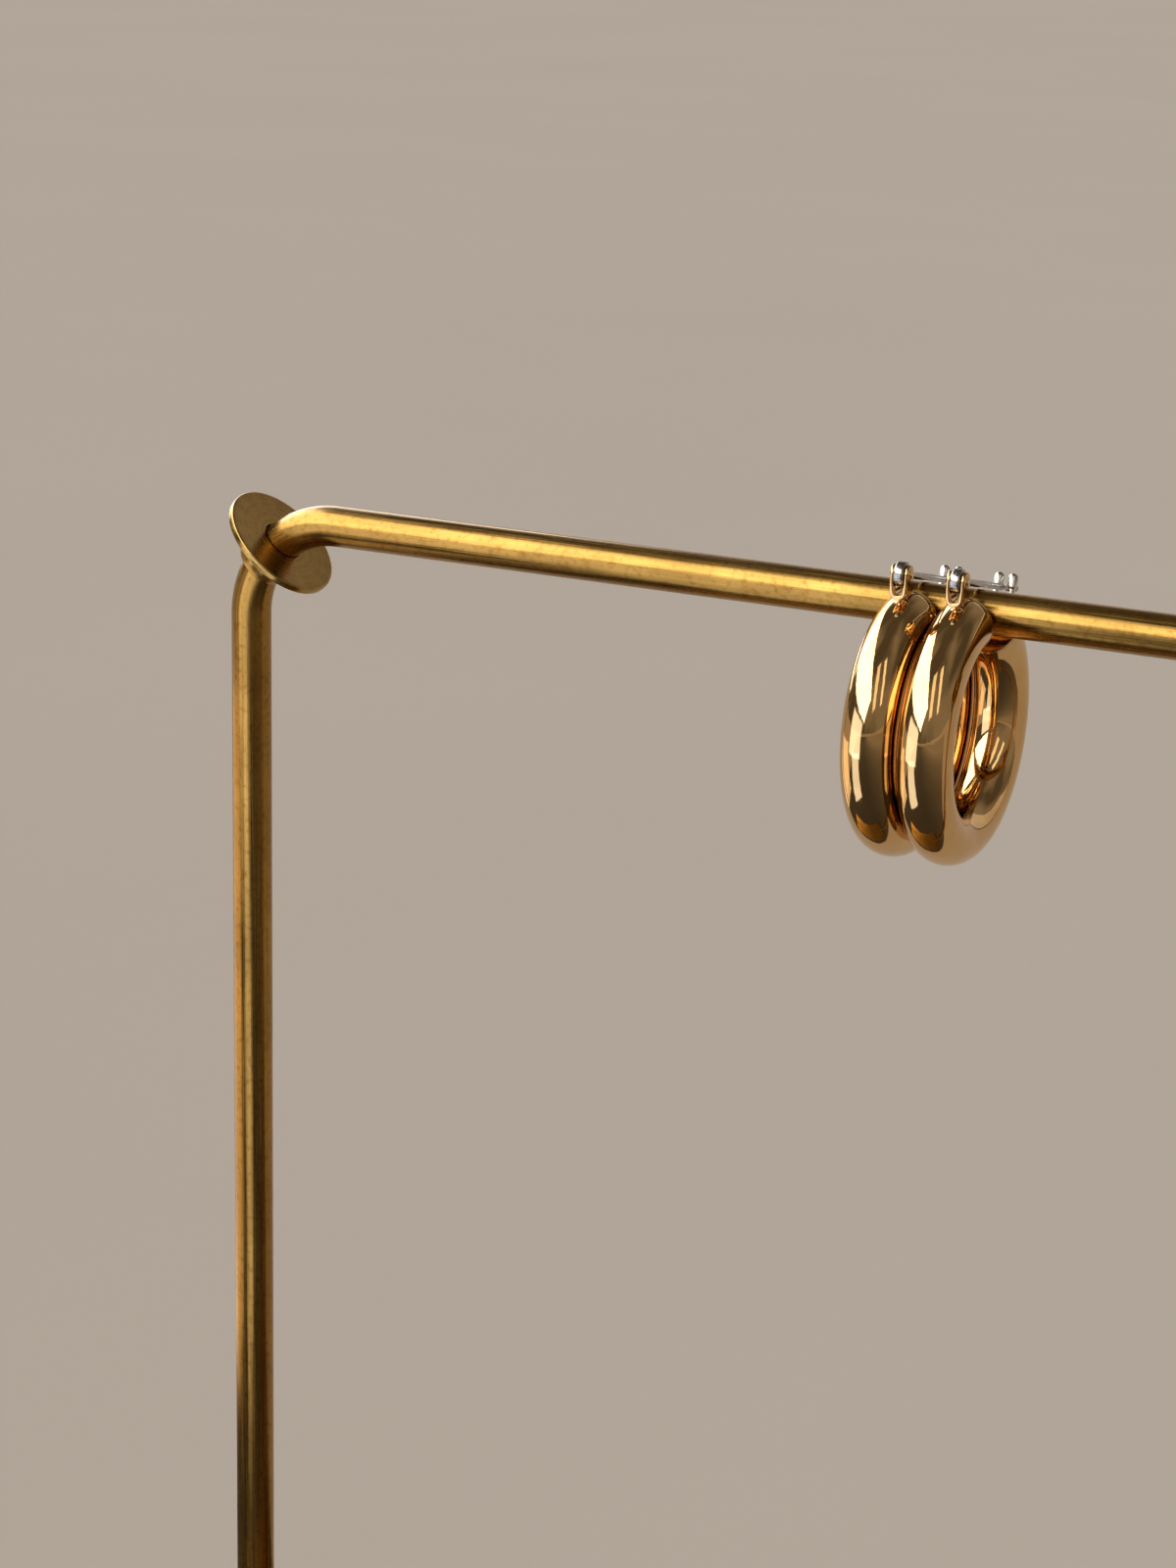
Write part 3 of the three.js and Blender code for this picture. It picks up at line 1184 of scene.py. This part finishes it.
@dataclass
class Earring:
    """One earring of the pair, hung where the frame holds its hinge pin."""

    side: Side
    hang_tilt: float = 13.4
    post_level: float = 15.75
    hinge_angle: float = -31.5
    hinge_lean: float = 14.0
    catch_angle: float = 25.5
    catch_lean: float = 16.0
    hoop: Hoop = field(default_factory=Hoop)

    def standing(self, angle: float, lean: float) -> Standing:
        """Where a small piece stands on this hoop's tube."""
        return Standing(angle, lean, self.hoop.ring_radius + self.hoop.tube_radius, self.post_level)

    def place(self, hinge_at: float) -> Matrix:
        """From the earring's frame to the frame's millimetres, found from its hinge pin.

        Args:
            hinge_at: the pin's place along the post.

        Returns:
            The placing matrix.
        """
        low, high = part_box(f"hinge_pin_{self.side.label}")
        turn = Matrix.Rotation(math.radians(-self.hang_tilt), 4, "X")
        pin = turn @ Vector((0, hinge_at, self.post_level))
        return Matrix.Translation((low + high) / 2 / MM - pin) @ turn

    def build(self, finishes: Finishes) -> None:
        """Makes and dresses the hoop, the pin, the post and the catch.

        Args:
            finishes: the object's finishes.
        """
        label = self.side.label
        at_hinge = self.standing(self.hinge_angle, self.hinge_lean)
        at_catch = self.standing(self.catch_angle, self.catch_lean)
        hinge_at = at_hinge.crossing()
        place = self.place(hinge_at)
        moving = Body.POST_LEFT if self.side is Side.LEFT else Body.POST_RIGHT

        gold = Skin()
        self.hoop.build(gold)
        HingeBracket(at_hinge).build(gold)
        tube = gold.piece(f"tube_hoop_{label}", place)
        dress(tube, finishes.gold, Body.RACK, f"hoop_{label}")

        rivet = Skin()
        HingePin().build(rivet, Vector((0, hinge_at, self.post_level)))
        pin = rivet.piece(f"rivet_pin_{label}", place)
        dress(pin, finishes.gold, Body.RACK, f"hinge_pin_{label}")

        wire = Skin()
        EarPost(self.post_level, hinge_at, at_catch.crossing()).build(wire)
        post = wire.piece(f"snap_post_{label}", place)
        dress(post, finishes.grey, moving, f"ear_post_{label}")

        prongs = Skin()
        CatchFork(at_catch).build(prongs)
        fork = prongs.piece(f"catch_fork_{label}", place)
        dress(fork, finishes.white, Body.RACK, f"catch_{label}")


# ---------------------------------------------------------------- the studio


class Seen(Enum):
    """What a light or a card of the studio shows to."""

    BY_FLOOR = "floor"
    BY_METAL = "metal"

    def limit(self, thing: bpy.types.Object) -> None:
        """Hides a thing from the camera and from what it isn't meant for.

        Args:
            thing: the light or the card.
        """
        thing.visible_camera = False
        thing.visible_diffuse = self is Seen.BY_FLOOR
        thing.visible_glossy = self is Seen.BY_METAL


@dataclass(frozen=True)
class SoftBox:
    """A soft rectangular light, placed by how it is seen from the pair and turned to face it.

    The bearing is in degrees from the front towards +X, the rise in degrees over the horizon, and the
    distance and size are in metres. The tone is how bright its face looks.
    """

    name: str
    bearing: float
    rise: float
    distance: float
    size: Pair
    tone: float
    colour: Colour
    roll: float = 0.0
    seen: Seen = Seen.BY_METAL

    def hang(self, pair: Vector) -> None:
        """Makes the light.

        Args:
            pair: the middle of the pair, which it faces.
        """
        turn, rise = math.radians(self.bearing), math.radians(self.rise)
        way = Vector((math.sin(turn) * math.cos(rise), -math.cos(turn) * math.cos(rise), math.sin(rise)))
        lamp = bpy.data.lights.new(self.name, "AREA")
        lamp.shape = "RECTANGLE"
        lamp.size, lamp.size_y = self.size
        lamp.energy = self.tone * math.pi * self.size[0] * self.size[1]
        lamp.color = self.colour
        thing = bpy.data.objects.new(self.name, lamp)
        roll = Matrix.Rotation(math.radians(self.roll), 4, "Z")
        facing = (-way).to_track_quat("-Z", "Y").to_matrix().to_4x4()
        thing.matrix_world = Matrix.Translation(pair + way * self.distance) @ facing @ roll
        self.seen.limit(thing)
        bpy.context.scene.collection.objects.link(thing)


DAYLIGHT: Colour = (0.85, 0.93, 1.0)
COOL_SKY: Colour = (0.72, 0.8, 1.0)
CREAM: Colour = (1.0, 0.93, 0.8)
AMBER: Colour = (1.0, 0.86, 0.68)
PALE_WALL: Colour = (1.0, 0.91, 0.8)
WARM_WHITE: Colour = (1.0, 0.97, 0.93)
# Columns: name, bearing, rise, distance, size, tone and colour.
SOFT_BOXES: tuple[SoftBox, ...] = (
    SoftBox("tall_window", -60, 38, 1.6, (4.6, 1.15), 4.6, DAYLIGHT, roll=-3),
    SoftBox("side_window", -126, 16, 1.2, (0.95, 0.75), 2.6, DAYLIGHT, roll=10),
    SoftBox("low_window", -36, -4, 0.24, (0.2, 0.13), 2.0, COOL_SKY, roll=-6),
    SoftBox("sill", -32, -34, 0.18, (0.08, 0.12), 1.7, COOL_SKY),
    SoftBox("table_glow", -84, -26, 0.2, (0.13, 0.11), 1.0, AMBER),
    SoftBox("slim_strip", 20, 38, 1.5, (0.26, 1.1), 1.2, CREAM, roll=14),
    SoftBox("far_strip", 49, 38, 1.5, (0.18, 1.1), 1.4, CREAM, roll=8),
    SoftBox("overhead", -165, 64, 330.0, (360.0, 360.0), 1.27, WARM_WHITE, seen=Seen.BY_FLOOR),
    SoftBox("back_card", 180, 14, 6.0, (16.0, 2.6), 0.36, PALE_WALL),
    SoftBox("key", -110, 48, 390.0, (240.0, 240.0), 2.5, WARM_WHITE, seen=Seen.BY_FLOOR),
)


@dataclass(frozen=True)
class RoomAir:
    """The air of the studio: dim and uneven in the metal, plain and pale to the eye."""

    plain: Colour = (0.445, 0.384, 0.318)
    dark: Colour = (0.1, 0.088, 0.072)
    light: Colour = (0.29, 0.265, 0.235)
    cloud_scale: float = 1.5
    cloud_detail: float = 1.5
    cloud_band: Pair = (0.38, 0.62)

    def fill(self) -> None:
        """Makes the world and gives it to the scene."""
        world = bpy.data.worlds.new("studio_air")
        world.use_nodes = True
        tree = world.node_tree
        room = tree.nodes["Background"]
        plain = tree.nodes.new("ShaderNodeBackground")
        plain.inputs["Color"].default_value = (*self.plain, 1.0)
        cloud = tree.nodes.new("ShaderNodeTexNoise")
        cloud.inputs["Scale"].default_value = self.cloud_scale
        cloud.inputs["Detail"].default_value = self.cloud_detail
        tone = tree.nodes.new("ShaderNodeValToRGB")
        stops = tone.color_ramp.elements
        stops[0].position, stops[1].position = self.cloud_band
        stops[0].color, stops[1].color = (*self.dark, 1.0), (*self.light, 1.0)
        path = tree.nodes.new("ShaderNodeLightPath")
        choice = tree.nodes.new("ShaderNodeMixShader")
        place = tree.nodes.new("ShaderNodeTexCoord")
        tree.links.new(place.outputs["Generated"], cloud.inputs["Vector"])
        tree.links.new(cloud.outputs["Fac"], tone.inputs["Fac"])
        tree.links.new(tone.outputs["Color"], room.inputs["Color"])
        tree.links.new(path.outputs["Is Camera Ray"], choice.inputs["Fac"])
        tree.links.new(room.outputs["Background"], choice.inputs[1])
        tree.links.new(plain.outputs["Background"], choice.inputs[2])
        tree.links.new(choice.outputs["Shader"], tree.nodes["World Output"].inputs["Surface"])
        bpy.context.scene.world = world


@dataclass(frozen=True)
class Studio:
    """The pale paper floor, the soft light and the camera, in metres and degrees."""

    paper_reach: float = 60.0
    paper_drop: float = 0.0001
    card_lift: float = 0.0004
    card_corners: tuple[Pair, ...] = ((-0.16, 0.04), (2.5, 0.04), (2.5, -4.0), (-1.6, -4.0))
    right_of_middle: float = 0.14083
    before_bar: float = 0.32416
    over_bar: float = 0.07993
    bearing: float = 26.0
    pitch: float = 16.44
    roll: float = 1.49
    lens: float = 74.475
    film: float = 36.0
    clip: Pair = (0.01, 100.0)

    def lay(
        self, name: str, corners: Sequence[Pair], height: float, finish: bpy.types.Material
    ) -> bpy.types.Object:
        """Lays a flat sheet that isn't part of the object.

        Args:
            name: the sheet's name.
            corners: its corners in order.
            height: its level over the floor.
            finish: its material.

        Returns:
            The sheet.
        """
        mesh = bpy.data.meshes.new(name)
        mesh.from_pydata([(x, y, 0.0) for x, y in corners], [], [tuple(range(len(corners)))])
        mesh.materials.append(finish)
        sheet = bpy.data.objects.new(name, mesh)
        sheet.location.z = height
        bpy.context.scene.collection.objects.link(sheet)
        return sheet

    def paper(self) -> None:
        """Lays the paper a hair under the plate, far out on every side."""
        far = self.paper_reach
        corners = ((-far, -far), (far, -far), (far, far), (-far, far))
        self.lay("paper", corners, -self.paper_drop, MattePaper().make())

    def painted_shade_card(self) -> None:
        """Lays a dark card in front, which only the metal mirrors, to paint a dark reflection where the pale
        floor would show in the metal.
        """
        card = self.lay("painted_shade_card", self.card_corners, self.card_lift, PaintedDarkReflection().make())
        # Painted dark reflection: seen only by glossy rays, and it casts no shadow.
        Seen.BY_METAL.limit(card)
        card.visible_shadow = False

    def light(self) -> None:
        """Fills the air and hangs the soft boxes round the pair."""
        bpy.context.scene.view_settings.view_transform = "Standard"
        RoomAir().fill()
        pair = (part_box("hoop_left")[0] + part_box("hoop_right")[1]) / 2
        for box in SOFT_BOXES:
            box.hang(pair)

    def camera(self) -> None:
        """Sets the camera up at its station over the bar."""
        turn, dip, roll = (math.radians(a) for a in (self.bearing, self.pitch, self.roll))
        right = Vector((math.cos(turn), math.sin(turn), 0))
        level = Vector((-math.sin(turn), math.cos(turn), 0))
        ahead = level * math.cos(dip) - AXIS_Z * math.sin(dip)
        up = right.cross(ahead)
        rolled = right * math.cos(roll) + up * math.sin(roll)
        lens = bpy.data.cameras.new("camera")
        lens.lens = self.lens
        lens.sensor_width = self.film
        lens.clip_start, lens.clip_end = self.clip
        camera = bpy.data.objects.new("camera", lens)
        bar = RackRod().bar_height * MM
        station = Vector((self.right_of_middle, -self.before_bar, bar + self.over_bar))
        axes = Matrix((rolled, rolled.cross(ahead), -ahead)).transposed()
        camera.matrix_world = Matrix.Translation(station) @ axes.to_4x4()
        bpy.context.scene.collection.objects.link(camera)
        bpy.context.scene.camera = camera


def main() -> None:
    """Builds the studio, the rack and the pair, in that order."""
    logging.basicConfig(level=logging.INFO, format="%(message)s")
    studio = Studio()
    studio.camera()
    studio.paper()
    studio.painted_shade_card()
    studio.light()
    finishes = Finishes()
    Rack().build(finishes)
    for side in Side:
        Earring(side).build(finishes)


if __name__ == "__main__":
    main()
